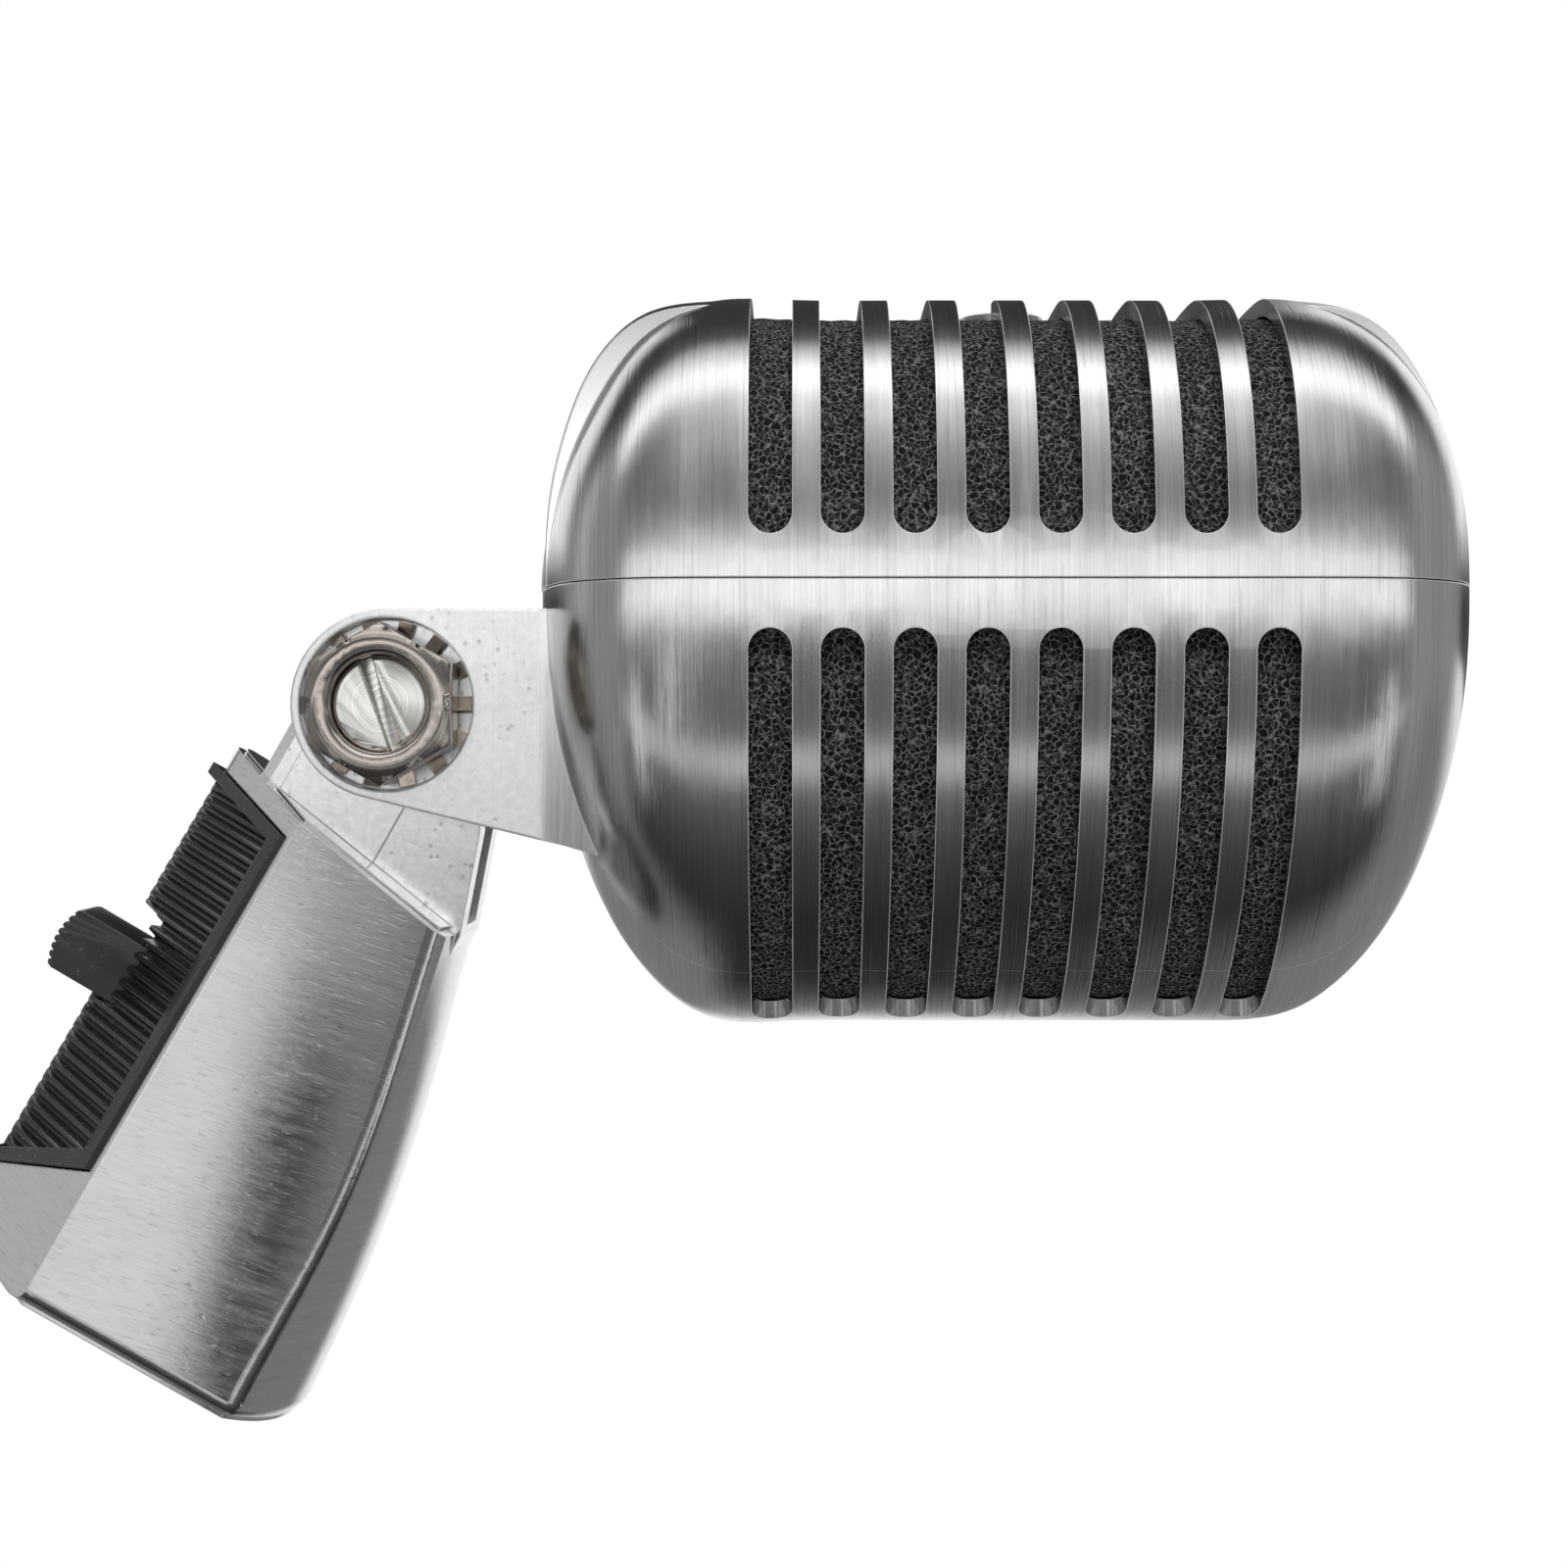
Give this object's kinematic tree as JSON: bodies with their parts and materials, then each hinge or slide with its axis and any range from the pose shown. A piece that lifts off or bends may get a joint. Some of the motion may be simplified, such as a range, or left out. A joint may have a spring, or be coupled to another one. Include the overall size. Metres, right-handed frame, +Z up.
{
  "type": "stage microphone",
  "caption": "Ribbed stage microphone: a rounded metal head with foam behind its slots, on a fork that tilts on a stand base with a slide switch, a cable socket and a stand thread.",
  "frame": {"origin": "centre of the stand thread's mouth, in the bottom face of the stand base", "axes": "+Z up the stand base from its bottom face, +X across along the pivot stud, the head's front faces -Y; the head is stored tilted forward, as in the picture"},
  "size_m": [0.0562, 0.1242, 0.159],
  "materials": {
    "satin_casting": "satin chrome on a zinc casting, finely brushed",
    "black_foam": "open-cell black foam",
    "plated_steel": "nickel plated",
    "black_rubber": "matte",
    "capsule_metal": "turned",
    "diaphragm_film": "thin film",
    "magnet_metal": "ground",
    "copper_wire": "enamelled",
    "core_iron": "laminated",
    "winding_tape": "taped winding",
    "lead_cover": "insulated wire",
    "nickel_brass": "nickel plated, lathe marks on the ends",
    "fibre": "pressed fibre",
    "black_plastic": "moulded, worn at the rib tops",
    "contact_metal": "plated contacts",
    "insert_plastic": "moulded"
  },
  "bodies": {
    "base": {"stand_base": "satin_casting", "switch_plate": "black_plastic", "switch_body": "black_plastic", "switch_screws": "plated_steel", "switch_terminals": "contact_metal", "connector_insert": "insert_plastic", "connector_pins": "contact_metal", "connector_screw": "plated_steel"},
    "head": {"front_shell": "satin_casting", "rear_shell": "satin_casting", "front_foam": "black_foam", "rear_foam": "black_foam", "cover_screw": "plated_steel", "capsule_bracket": "plated_steel", "bracket_screws": "plated_steel", "shock_mount": "black_rubber", "capsule_housing": "capsule_metal", "capsule_cap": "capsule_metal", "diaphragm": "diaphragm_film", "magnet": "magnet_metal", "voice_coil": "copper_wire", "transformer_core": "core_iron", "transformer_winding": "winding_tape", "transformer_strap": "plated_steel", "transformer_screws": "plated_steel", "capsule_leads": "lead_cover", "pivot_stud": "nickel_brass", "pivot_nuts": "nickel_brass", "lock_washers": "plated_steel", "friction_washers": "fibre"},
    "switch": {"switch_slider": "black_plastic"}
  },
  "joints": [
    {"name": "head_tilt", "type": "hinge", "parent": "base", "child": "head", "pos_m": [0, 0.0173, 0.0726], "axis": [1, 0, 0], "range_deg": [-80, 0]},
    {"name": "switch_slide", "type": "slide", "parent": "base", "child": "switch", "axis": [0, -0.0159, 0.9999], "range_m": [0, 0.0035]}
  ]
}
